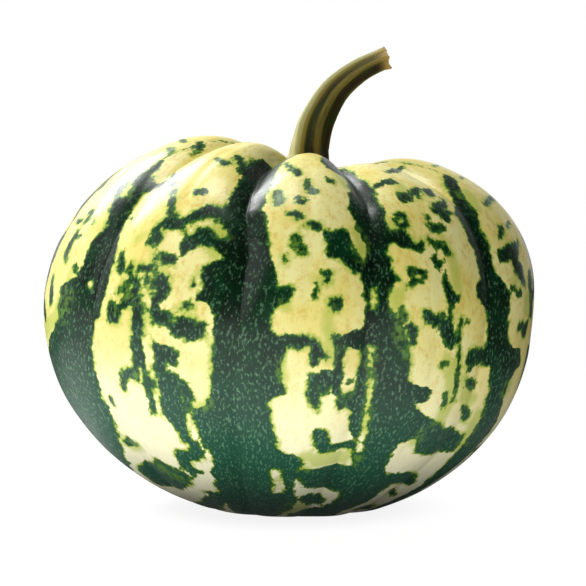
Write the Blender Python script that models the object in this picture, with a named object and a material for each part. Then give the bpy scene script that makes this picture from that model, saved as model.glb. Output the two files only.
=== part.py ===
"""Sweet dumpling squash: a ribbed fruit resting on its blossom end, with its dry five-angled stem.

Metres, +Z up. Azimuth 0 is the fruit's front, facing -Y, and azimuth grows towards +X.
The origin is at the middle of the fruit's box, on the surface that it rests on.
"""

import math

import bmesh
import bpy
from mathutils import Matrix, Vector

# The fruit before its ribs: a squat rounded body, whose lower half is an ellipse in section.
EQUATOR_RADIUS = 0.0600
EQUATOR_HEIGHT = 0.0468
DEPTH_SHARE = 0.98  # front to back, as a share of side to side
CROWN_RISE = 0.0460
BASE_DROP = 0.0498
SHOULDER_POWER = 2.4  # 2 would be an ellipse, and more is squarer
SHOULDER_POWER_TO_RIGHT = 0.25
# The crown isn't level all round: it is lower to the right, at the back, and at front and back together.
CROWN_LOWER_RIGHT = 0.0015
CROWN_LOWER_BACK = 0.0053
CROWN_LOWER_FRONT_AND_BACK = 0.0025
# The fruit grew leaning, and its crown is set over to the right.
LEAN = math.radians(4.7)
CROWN_SHIFT = 0.0022
CROWN_SHIFT_HEIGHT = 0.040

# The hollow in the crown, with a flat seat for the stem's foot, sunk in its floor.
HOLLOW_RADIUS = 0.0186
SEAT_RADIUS = 0.0065
SEAT_HEIGHT = 0.0820

# The flat spot that it rests on has a rounded edge, and the blossom end is a small dimple in it.
FLAT_SPOT_EDGE = 0.0010
DIMPLE_RADIUS = 0.0060
DIMPLE_DEPTH = 0.0012

# Ribs: the azimuth of the groove on each rib's left, and how far its crown stands above the common one.
RIBS = (
    (-84.0, 0.0),
    (-49.5, 0.0003),
    (-11.0, 0.0),
    (17.5, -0.0020),
    (50.5, -0.0012),
    (84.0, -0.0020),
    (122.0, -0.0015),
    (160.0, 0.0),
    (199.0, 0.0),
    (238.0, 0.0),
)
RIB_ROUNDNESS = 2.2
# Depths along a groove, as (latitude in degrees, depth). The blossom end is at -90 and the stem at 90.
ROUNDING_DEPTH = (
    (-90, 0.0),
    (-72, 0.0002),
    (-45, 0.0015),
    (0, 0.0013),
    (35, 0.0020),
    (62, 0.0040),
    (78, 0.0030),
    (86, 0.0),
)
CREASE_DEPTH = (
    (-90, 0.0),
    (-72, 0.0002),
    (-45, 0.0005),
    (0, 0.0004),
    (35, 0.0008),
    (65, 0.0010),
    (80, 0.0006),
    (86, 0.0),
)
CROWN_LIFT_SHARE = ((0, 0.0), (62, 1.0), (80, 1.0), (86, 0.0))
CREASE_WIDTH = 0.0025
CREASE_FLOOR = 0.0005

# The fruit's mesh. The lowest row of the skin runs round the dimple.
RIB_COLUMNS = 10
SKIN_ROWS = 36
LOWEST_ROW = -math.degrees(math.acos(DIMPLE_RADIUS / EQUATOR_RADIUS))
HIGHEST_ROW = 84.0
DIMPLE_ROWS = (0.7, 0.35)
SLOPE_STEP = 0.5

# The stem, as points on its centreline from the middle of the seat: right, up, and its mean radius there.
# It leaves the seat square to it, a small gap above it.
STEM_ROUTE = (
    (0.00000, 0.0003, 0.0056),
    (0.00010, 0.0015, 0.0055),
    (0.00024, 0.0032, 0.0048),
    (0.00055, 0.0062, 0.0044),
    (0.00210, 0.0122, 0.0041),
    (0.00630, 0.0192, 0.0034),
    (0.01180, 0.0238, 0.0028),
    (0.01700, 0.0264, 0.0025),
    (0.01950, 0.0272, 0.0027),
)
STEM_ANGLES = 5
STEM_ANGLE_HEIGHT = 0.09  # how far the angles stand out, as a share of the radius
STEM_TWIST = math.radians(-60)
STEM_FIRST_ANGLE = math.radians(-112)
STEM_SIDES = 30
STEM_RINGS = 30
STEM_SLOPE_STEP = 0.01

SKIN_COLOUR = (0.83, 0.76, 0.36, 1.0)
SKIN_ROUGHNESS = 0.38
STEM_COLOUR = (0.30, 0.29, 0.09, 1.0)
STEM_ROUGHNESS = 0.65
SMOOTH_ANGLE = math.radians(40)


def eased(position, knots):
    """The value at this position between (position, value) knots, level at each knot."""
    if position <= knots[0][0]:
        return knots[0][1]
    for (start, low), (end, high) in zip(knots, knots[1:]):
        if position <= end:
            share = (position - start) / (end - start)
            return low + (high - low) * share * share * (3 - 2 * share)
    return knots[-1][1]


def rib_width(rib):
    """The angle that a rib takes round the fruit, in degrees."""
    return (RIBS[(rib + 1) % len(RIBS)][0] - RIBS[rib][0]) % 360


def azimuth_on(rib, across):
    """The azimuth of a place on a rib. Across runs from -1 in its left groove to 1 in its right one."""
    return RIBS[rib][0] + rib_width(rib) * (across + 1) / 2


def crown_rise(azimuth):
    """How far the crown would rise above the equator on this side, without the stem's hollow."""
    right = math.sin(math.radians(azimuth))
    front = math.cos(math.radians(azimuth))
    rise = CROWN_RISE - CROWN_LOWER_RIGHT * right
    rise -= CROWN_LOWER_BACK * (1 - front) / 2
    rise -= CROWN_LOWER_FRONT_AND_BACK * (front**2 - right**2)
    return rise


def hollowed(azimuth, radius, height):
    """A height on the crown, once the hollow is sunk down to the stem's seat."""
    depth = EQUATOR_HEIGHT + crown_rise(azimuth) - SEAT_HEIGHT
    return height - depth * math.exp(-((radius / HOLLOW_RADIUS) ** 2))


def envelope(azimuth, latitude):
    """(distance from the fruit's own axis, height) on the body before its ribs."""
    up = math.sin(math.radians(latitude))
    out = math.cos(math.radians(latitude))
    if latitude <= 0:
        return EQUATOR_RADIUS * out, EQUATOR_HEIGHT + BASE_DROP * up
    power = SHOULDER_POWER + SHOULDER_POWER_TO_RIGHT * math.sin(math.radians(azimuth))
    radius = EQUATOR_RADIUS * out ** (2 / power)
    height = EQUATOR_HEIGHT + crown_rise(azimuth) * up ** (2 / power)
    return radius, hollowed(azimuth, radius, height)


def sunk_by(rib, across, latitude, radius):
    """How far the skin lies inside that body: most in a groove, with a narrow crease at its floor."""
    rounding = abs(across) ** RIB_ROUNDNESS
    to_groove = (1 - abs(across)) * math.radians(rib_width(rib)) / 2 * radius
    crease = math.exp(-math.hypot(to_groove, CREASE_FLOOR) / CREASE_WIDTH)
    lift = RIBS[rib][1] * (1 - rounding) * eased(latitude, CROWN_LIFT_SHARE)
    return eased(latitude, ROUNDING_DEPTH) * rounding + eased(latitude, CREASE_DEPTH) * crease - lift


def settled(azimuth, radius, height):
    """Where a place on the upright fruit is, once its crown is set over and it leans on its flat spot."""
    share = min(max((height - EQUATOR_HEIGHT) / CROWN_SHIFT_HEIGHT, 0.0), 1.0)
    angle = math.radians(azimuth)
    right = radius * math.sin(angle) + CROWN_SHIFT * share
    back = -radius * math.cos(angle) * DEPTH_SHARE
    point = Matrix.Rotation(LEAN, 3, "Y") @ Vector((right, back, height - EQUATOR_HEIGHT))
    point.z += EQUATOR_HEIGHT
    if point.z < FLAT_SPOT_EDGE:
        point.z = max(point.z + FLAT_SPOT_EDGE, 0.0) ** 2 / (4 * FLAT_SPOT_EDGE)
    return point


def skin_point(rib, across, latitude):
    azimuth = azimuth_on(rib, across)
    radius, height = envelope(azimuth, latitude)
    radius_below, height_below = envelope(azimuth, latitude - SLOPE_STEP)
    radius_above, height_above = envelope(azimuth, latitude + SLOPE_STEP)
    slope = Vector((radius_above - radius_below, height_above - height_below)).normalized()
    depth = sunk_by(rib, across, latitude, radius)
    return settled(azimuth, radius - slope.y * depth, height + slope.x * depth)


def ring(bm, points):
    return [bm.verts.new(point) for point in points]


def join_rings(bm, lower, upper):
    """Faces between two rings, which both run anticlockwise as seen from above."""
    count = len(lower)
    for k in range(count):
        after = (k + 1) % count
        bm.faces.new((lower[k], lower[after], upper[after], upper[k]))


def close_ring(bm, edge, middle, upward):
    """A fan of faces from a ring to the point in its middle."""
    centre = bm.verts.new(middle)
    count = len(edge)
    for k in range(count):
        after = (k + 1) % count
        corners = (edge[k], edge[after], centre)
        bm.faces.new(corners if upward else corners[::-1])


def make_object(name, bm, colour, roughness):
    mesh = bpy.data.meshes.new(name)
    bm.to_mesh(mesh)
    bm.free()
    mesh.shade_smooth()
    mesh.set_sharp_from_angle(angle=SMOOTH_ANGLE)
    material = bpy.data.materials.new(name)
    material.use_nodes = True
    shader = material.node_tree.nodes["Principled BSDF"]
    shader.inputs["Base Color"].default_value = colour
    shader.inputs["Roughness"].default_value = roughness
    shader.inputs["Metallic"].default_value = 0.0
    mesh.materials.append(material)
    made = bpy.data.objects.new(name, mesh)
    bpy.context.scene.collection.objects.link(made)
    return made


def make_fruit():
    """The fruit as rings of points, from the blossom end's dimple up to the stem's seat."""
    columns = []
    for rib in range(len(RIBS)):
        for column in range(RIB_COLUMNS):
            columns.append((rib, math.sin(math.pi * (column / RIB_COLUMNS - 0.5))))
    bm = bmesh.new()
    step = (HIGHEST_ROW - LOWEST_ROW) / (SKIN_ROWS - 1)
    rows = []
    for row in range(SKIN_ROWS):
        latitude = LOWEST_ROW + step * row
        rows.append(ring(bm, [skin_point(rib, across, latitude) for rib, across in columns]))
    for lower, upper in zip(rows, rows[1:]):
        join_rings(bm, lower, upper)

    blossom_end = settled(0, 0, 0)
    outer = rows[0]
    for share in DIMPLE_ROWS:
        rise = Vector((0, 0, DIMPLE_DEPTH * (1 + math.cos(math.pi * share)) / 2))
        inner = ring(bm, [blossom_end.lerp(vertex.co, share) + rise for vertex in rows[0]])
        join_rings(bm, inner, outer)
        outer = inner
    close_ring(bm, outer, blossom_end + Vector((0, 0, DIMPLE_DEPTH)), upward=False)

    rim_points = []
    seat_points = []
    for column in columns:
        azimuth = azimuth_on(*column)
        rim_height = hollowed(azimuth, SEAT_RADIUS, EQUATOR_HEIGHT + crown_rise(azimuth))
        rim_points.append(settled(azimuth, SEAT_RADIUS, rim_height))
        seat_points.append(settled(azimuth, SEAT_RADIUS, SEAT_HEIGHT))
    rim = ring(bm, rim_points)
    seat = ring(bm, seat_points)
    join_rings(bm, rows[-1], rim)
    join_rings(bm, rim, seat)
    close_ring(bm, seat, settled(0, 0, SEAT_HEIGHT), upward=True)
    return make_object("fruit", bm, SKIN_COLOUR, SKIN_ROUGHNESS)


def route_point(share):
    """(right, up, radius) on the stem's centreline, on one smooth curve through the route's points."""
    last = len(STEM_ROUTE) - 1
    start = min(int(share * last), last - 1)
    part = share * last - start
    here = Vector(STEM_ROUTE[start])
    there = Vector(STEM_ROUTE[start + 1])
    leaving = (there - Vector(STEM_ROUTE[max(start - 1, 0)])) / 2
    arriving = (Vector(STEM_ROUTE[min(start + 2, last)]) - here) / 2
    return (
        here * (2 * part**3 - 3 * part**2 + 1)
        + leaving * (part**3 - 2 * part**2 + part)
        + there * (3 * part**2 - 2 * part**3)
        + arriving * (part**3 - part**2)
    )


def stem_section(share):
    """One five-angled section of the stem, square to its centreline, measured from the seat's middle."""
    right, up, radius = route_point(share)
    before = route_point(max(share - STEM_SLOPE_STEP, 0))
    beyond = route_point(min(share + STEM_SLOPE_STEP, 1))
    along = Vector((beyond.x - before.x, 0, beyond.y - before.y)).normalized()
    side = Vector((along.z, 0, -along.x))
    back = Vector((0, 1, 0))
    points = []
    for k in range(STEM_SIDES):
        angle = 2 * math.pi * k / STEM_SIDES
        stands_out = math.cos(STEM_ANGLES * (angle - STEM_FIRST_ANGLE - STEM_TWIST * share))
        reach = radius * (1 + STEM_ANGLE_HEIGHT * stands_out)
        points.append(Vector((right, 0, up)) + (side * math.cos(angle) + back * math.sin(angle)) * reach)
    return points


def make_stem():
    """The stem as rings along its curve, closed by its flat foot and its cut end."""
    seat = settled(0, 0, SEAT_HEIGHT)
    bm = bmesh.new()
    rings = []
    for k in range(STEM_RINGS):
        section = stem_section(k / (STEM_RINGS - 1))
        rings.append(ring(bm, [seat + point for point in section]))
    for lower, upper in zip(rings, rings[1:]):
        join_rings(bm, lower, upper)
    for edge, share, upward in ((rings[0], 0, False), (rings[-1], 1, True)):
        right, up, _ = route_point(share)
        close_ring(bm, edge, seat + Vector((right, 0, up)), upward)
    return make_object("stem", bm, STEM_COLOUR, STEM_ROUGHNESS)


def main():
    for old in list(bpy.data.objects):
        bpy.data.objects.remove(old)
    fruit = make_fruit()
    stem = make_stem()
    rights = [vertex.co.x for vertex in fruit.data.vertices]
    backs = [vertex.co.y for vertex in fruit.data.vertices]
    squash = bpy.data.objects.new("squash", None)
    squash.location = (-(min(rights) + max(rights)) / 2, -(min(backs) + max(backs)) / 2, 0)
    bpy.context.scene.collection.objects.link(squash)
    fruit.parent = squash
    stem.parent = squash


main()
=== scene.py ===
"""The looks of a sweet dumpling squash: a waxy cream rind with mottled green stripes, and a dry ridged stem.

Metres, +Z up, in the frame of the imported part. Azimuth 0 is the fruit's front, facing -Y, and it grows
towards +X.
"""

import math
import random

import bpy
import numpy as np
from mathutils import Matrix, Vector, noise


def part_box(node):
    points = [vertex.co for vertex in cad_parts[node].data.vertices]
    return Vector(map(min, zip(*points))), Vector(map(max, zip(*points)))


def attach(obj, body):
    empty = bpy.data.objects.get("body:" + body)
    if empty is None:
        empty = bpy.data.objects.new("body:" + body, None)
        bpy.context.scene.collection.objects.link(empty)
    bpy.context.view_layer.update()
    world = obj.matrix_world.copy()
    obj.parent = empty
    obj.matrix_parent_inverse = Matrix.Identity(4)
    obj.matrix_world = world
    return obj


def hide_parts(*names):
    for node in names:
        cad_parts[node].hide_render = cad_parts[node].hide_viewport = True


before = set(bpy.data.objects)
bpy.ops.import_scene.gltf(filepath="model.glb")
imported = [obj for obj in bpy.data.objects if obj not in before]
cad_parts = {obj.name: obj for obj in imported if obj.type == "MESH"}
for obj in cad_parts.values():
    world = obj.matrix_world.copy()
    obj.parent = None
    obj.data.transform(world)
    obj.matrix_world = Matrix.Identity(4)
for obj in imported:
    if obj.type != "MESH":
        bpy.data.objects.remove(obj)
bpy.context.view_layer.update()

# The rind
# A squat ribbed fruit, grown as one piece, with a thin hard waxy skin. It leans on its blossom end, so its
# crown is over to the right. The skin is cream where it ripened, and stays dark green in the grooves and
# beside them.
MM = 0.001
EQUATOR_RADIUS = 60.0 * MM
EQUATOR_HEIGHT = 46.8 * MM
DEPTH_SHARE = 0.98
CROWN_RISE = 46.0 * MM
BASE_DROP = 49.8 * MM
SHOULDER_POWER = 2.4
SHOULDER_POWER_TO_RIGHT = 0.25
CROWN_LOWER_RIGHT = 1.5 * MM
CROWN_LOWER_BACK = 5.3 * MM
CROWN_LOWER_FRONT_AND_BACK = 2.5 * MM
LEAN = math.radians(4.7)
CROWN_SHIFT = 2.2 * MM
CROWN_SHIFT_HEIGHT = 40 * MM
HOLLOW_RADIUS = 18.6 * MM
SEAT_RADIUS = 6.5 * MM
SEAT_HEIGHT = 82.0 * MM
FLAT_SPOT_EDGE = 1.0 * MM
DIMPLE_RADIUS = 6.0 * MM
DIMPLE_DEPTH = 1.2 * MM

# Each rib by the azimuth of the groove on its left, and how far its crown stands above the common one.
RIBS = (
    (-84.0, 0.0),
    (-49.5, 0.3 * MM),
    (-11.0, 0.0),
    (17.5, -2.0 * MM),
    (50.5, -1.2 * MM),
    (84.0, -2.0 * MM),
    (122.0, -1.5 * MM),
    (160.0, 0.0),
    (199.0, 0.0),
    (238.0, 0.0),
)
RIB_ROUNDNESS = 2.2
ROUNDING_DEPTH = ((-90, 0), (-72, 0.2), (-45, 1.5), (0, 1.3), (35, 2.0), (62, 4.0), (78, 3.0), (86, 0))
CREASE_DEPTH = ((-90, 0), (-72, 0.2), (-45, 0.5), (0, 0.4), (35, 0.8), (65, 1.0), (80, 0.6), (86, 0))
CROWN_LIFT_SHARE = ((0, 0), (62, 1), (80, 1), (86, 0))
CREASE_WIDTH = 2.5 * MM
CREASE_FLOOR = 0.5 * MM
SLOPE_STEP = 0.5

# The mesh's columns on each rib, a little closer together beside the grooves, and its rows up the skin.
RIB_COLUMNS = 42
COLUMN_CROWDING = 0.25
SKIN_ROWS = 214
LOWEST_ROW = -math.degrees(math.acos(DIMPLE_RADIUS / EQUATOR_RADIUS))
HIGHEST_ROW = 84.0
DIMPLE_ROWS = (0.15, 0.3, 0.45, 0.6, 0.75, 0.9)
FUNNEL_ROWS = (0.35, 0.7)

# Growth has left shallow dents all over, and a faint seam down the middle of each rib.
DENT_SIZE = 13.0
DENT_DEPTH = 0.22 * MM
DENT_FADE = ((-84, 0), (-60, 1), (75, 1), (84, 0))
SEAM_DEPTH = 0.16 * MM
SEAM_WIDTH = 1.4 * MM
SEAM_FADE = ((-70, 0), (-50, 1), (60, 1), (75, 0))
NOISES_APART = 7.3


def eased(position, knots):
    """Values at these positions between (position, value) knots, level at each knot."""
    places = np.array([knot[0] for knot in knots], float)
    values = np.array([knot[1] for knot in knots], float)
    start = np.clip(np.searchsorted(places, position, side="right") - 1, 0, len(knots) - 2)
    share = np.clip((position - places[start]) / (places[start + 1] - places[start]), 0, 1)
    share = share * share * (3 - 2 * share)
    return values[start] + (values[start + 1] - values[start]) * share


def crown_rise(azimuth):
    """How far the crown would rise above the equator on each side, without the stem's hollow."""
    right = np.sin(np.radians(azimuth))
    front = np.cos(np.radians(azimuth))
    rise = CROWN_RISE - CROWN_LOWER_RIGHT * right - CROWN_LOWER_BACK * (1 - front) / 2
    return rise - CROWN_LOWER_FRONT_AND_BACK * (front**2 - right**2)


def hollowed(azimuth, radius, height):
    """Heights on the crown, once the hollow is sunk down to the stem's seat."""
    depth = EQUATOR_HEIGHT + crown_rise(azimuth) - SEAT_HEIGHT
    return height - depth * np.exp(-((radius / HOLLOW_RADIUS) ** 2))


def envelope(azimuth, latitude):
    """(distance from the fruit's own axis, height) on the body before its ribs."""
    up = np.sin(np.radians(latitude))
    out = np.cos(np.radians(latitude))
    power = SHOULDER_POWER + SHOULDER_POWER_TO_RIGHT * np.sin(np.radians(azimuth))
    upper_radius = EQUATOR_RADIUS * out ** (2 / power)
    upper_height = EQUATOR_HEIGHT + crown_rise(azimuth) * np.abs(up) ** (2 / power)
    upper_height = hollowed(azimuth, upper_radius, upper_height)
    radius = np.where(latitude > 0, upper_radius, EQUATOR_RADIUS * out)
    height = np.where(latitude > 0, upper_height, EQUATOR_HEIGHT + BASE_DROP * up)
    return radius, height


def settled(azimuth, radius, height):
    """Where places on the upright fruit are, once its crown is set over and it leans on its flat spot."""
    share = np.clip((height - EQUATOR_HEIGHT) / CROWN_SHIFT_HEIGHT, 0, 1)
    right = radius * np.sin(np.radians(azimuth)) + CROWN_SHIFT * share
    back = -radius * np.cos(np.radians(azimuth)) * DEPTH_SHARE
    above = height - EQUATOR_HEIGHT
    x = right * math.cos(LEAN) + above * math.sin(LEAN)
    z = EQUATOR_HEIGHT + above * math.cos(LEAN) - right * math.sin(LEAN)
    rounded = np.maximum(z + FLAT_SPOT_EDGE, 0) ** 2 / (4 * FLAT_SPOT_EDGE)
    z = np.where(z < FLAT_SPOT_EDGE, rounded, z)
    return np.stack([x, back + 0 * x, z], axis=-1)


def wobble(points, size, seed):
    """Smooth noise from -1 to 1 at each point, with hills about this far apart, in the points' own unit."""
    flat = np.reshape(points, (-1, 3)) / size + seed * NOISES_APART
    return np.reshape([noise.noise(place) for place in flat], points.shape[:-1])


def ring_mesh(name, rings, lower_tip, upper_tip):
    """A closed mesh through rings of points, from the lowest ring up, with a point at each end.

    It is laid flat as one map, a little inside the map's lower and upper edge, where its ends are.
    """
    ring_count, side_count, _ = rings.shape
    points = np.concatenate([rings.reshape(-1, 3), [lower_tip, upper_tip]])
    here = np.arange(side_count)
    after = (here + 1) % side_count
    left = here / side_count
    right = (here + 1) / side_count
    steps = np.linalg.norm(np.diff(rings, axis=0), axis=2).mean(axis=1)
    heights = 0.01 + 0.98 * np.concatenate([[0], np.cumsum(steps)]) / steps.sum()
    faces = []
    flat = []
    for k in range(ring_count - 1):
        low = k * side_count
        high = low + side_count
        faces += np.stack([low + here, low + after, high + after, high + here], axis=1).tolist()
        across = np.stack([left, right, right, left], axis=1)
        upward = np.broadcast_to([heights[k], heights[k], heights[k + 1], heights[k + 1]], across.shape)
        flat.append(np.stack([across, upward], axis=2).reshape(-1, 2))
    top = (ring_count - 1) * side_count
    last = ring_count * side_count
    for first, second in zip(here.tolist(), after.tolist()):
        faces.append([second, first, last])
    for first, second in zip(here.tolist(), after.tolist()):
        faces.append([top + first, top + second, last + 1])
    middle = (left + right) / 2
    edge = np.full(side_count, heights[0])
    fan = np.stack([np.stack([right, left, middle], 1), np.stack([edge, edge, edge * 0], 1)], axis=2)
    flat.append(fan.reshape(-1, 2))
    edge = np.full(side_count, heights[-1])
    fan = np.stack([np.stack([left, right, middle], 1), np.stack([edge, edge, edge * 0 + 1], 1)], axis=2)
    flat.append(fan.reshape(-1, 2))
    mesh = bpy.data.meshes.new(name)
    mesh.from_pydata(points.tolist(), [], faces)
    mesh.uv_layers.new(name="OFBake").data.foreach_set("uv", np.concatenate(flat).astype(np.float32).ravel())
    mesh.shade_smooth()
    return mesh


def paint(mesh, name, values):
    """Keeps one number, or one vector, for each point of the mesh, for its material to read."""
    values = np.asarray(values, np.float32)
    kind, field = ("FLOAT_VECTOR", "vector") if values.ndim == 2 else ("FLOAT", "value")
    mesh.attributes.new(name, kind, "POINT").data.foreach_set(field, values.ravel())


rib_widths = [(RIBS[(k + 1) % len(RIBS)][0] - RIBS[k][0]) % 360 for k in range(len(RIBS))]
even = 2 * np.arange(RIB_COLUMNS) / RIB_COLUMNS - 1
across_rib = (1 - COLUMN_CROWDING) * even + COLUMN_CROWDING * np.sin(np.pi * even / 2)
across = np.tile(across_rib, len(RIBS))
width = np.repeat(rib_widths, RIB_COLUMNS)
column_azimuth = np.repeat([rib[0] for rib in RIBS], RIB_COLUMNS) + width * (across + 1) / 2
lift = np.repeat([rib[1] for rib in RIBS], RIB_COLUMNS)
latitude = np.linspace(LOWEST_ROW, HIGHEST_ROW, SKIN_ROWS)[:, None]

# Towards the crown the groove in front swings to the left by some degrees, and the ribs beside it go with it.
SWAYING_GROOVE = 2
GROOVE_SWAY = ((8, 0), (18, -0.3), (28, -2.2), (36, -4.0), (45, -5.2), (60, -6.8), (72, -6.0), (84, 0))
rib_number = np.repeat(np.arange(len(RIBS)), RIB_COLUMNS)
swing = np.where(rib_number == SWAYING_GROOVE, (1 - across) / 2, 0)
swing = swing + np.where(rib_number == SWAYING_GROOVE - 1, (1 + across) / 2, 0)
sway = eased(latitude, GROOVE_SWAY) * swing
azimuth = column_azimuth + sway

radius, height = envelope(azimuth, latitude)
radius_below, height_below = envelope(azimuth, latitude - SLOPE_STEP)
radius_above, height_above = envelope(azimuth, latitude + SLOPE_STEP)
slope_out = radius_above - radius_below
slope_up = height_above - height_below
slope_length = np.hypot(slope_out, slope_up)
half_width = np.radians(width) / 2 * radius
rounding = np.abs(across) ** RIB_ROUNDNESS
crease = np.exp(-np.hypot((1 - np.abs(across)) * half_width, CREASE_FLOOR) / CREASE_WIDTH)
sunk = eased(latitude, ROUNDING_DEPTH) * MM * rounding + eased(latitude, CREASE_DEPTH) * MM * crease
sunk = sunk - lift * (1 - rounding) * eased(latitude, CROWN_LIFT_SHARE)

# The drum is the skin as if rolled on a drum of the fruit's width, in millimetres. Its grain runs that way.
plain = settled(azimuth, radius, height)
steps = np.linalg.norm(np.diff(plain, axis=0), axis=2) / MM
along = np.concatenate([np.zeros((1, len(across))), np.cumsum(steps, axis=0)])
equator = np.searchsorted(latitude[:, 0], 0)
along = along - along[equator]
DRUM_RADIUS = EQUATOR_RADIUS / MM
drum = np.stack(
    [
        DRUM_RADIUS * np.sin(np.radians(azimuth)) + 0 * along,
        -DRUM_RADIUS * np.cos(np.radians(azimuth)) + 0 * along,
        along,
    ],
    axis=-1,
)
seam = np.exp(-((across * half_width / SEAM_WIDTH) ** 2)) * eased(latitude, SEAM_FADE)
dents = eased(latitude, DENT_FADE) * wobble(drum, DENT_SIZE, 1)
sunk = sunk + SEAM_DEPTH * seam + DENT_DEPTH * dents
skin = settled(azimuth, radius - sunk * slope_up / slope_length, height + sunk * slope_out / slope_length)

blossom_end = settled(np.array(0.0), 0.0, 0.0)
dimple = []
for share in DIMPLE_ROWS:
    rise = np.array([0, 0, DIMPLE_DEPTH * (1 + math.cos(math.pi * share)) / 2])
    dimple.append(blossom_end + (skin[0] - blossom_end) * share + rise)
rim_height = hollowed(column_azimuth, SEAT_RADIUS, EQUATOR_HEIGHT + crown_rise(column_azimuth))
rim = settled(column_azimuth, SEAT_RADIUS, rim_height)
funnel = [skin[-1] + (rim - skin[-1]) * share for share in FUNNEL_ROWS]
seat = settled(column_azimuth, SEAT_RADIUS, SEAT_HEIGHT + 0 * column_azimuth)
seat_middle = settled(np.array(0.0), 0.0, SEAT_HEIGHT)
rings = np.concatenate([dimple, skin, funnel, [rim, seat]])
dimple_top = blossom_end + np.array([0, 0, DIMPLE_DEPTH])

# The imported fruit's box gives how far the fruit's own axis is from the origin.
fruit_low, fruit_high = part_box("fruit")
to_origin = np.array((fruit_low + fruit_high) / 2) - (rings.min(axis=(0, 1)) + rings.max(axis=(0, 1))) / 2
to_origin[2] = 0
rind_mesh = ring_mesh("rind", rings + to_origin, dimple_top + to_origin, seat_middle + to_origin)

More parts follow.
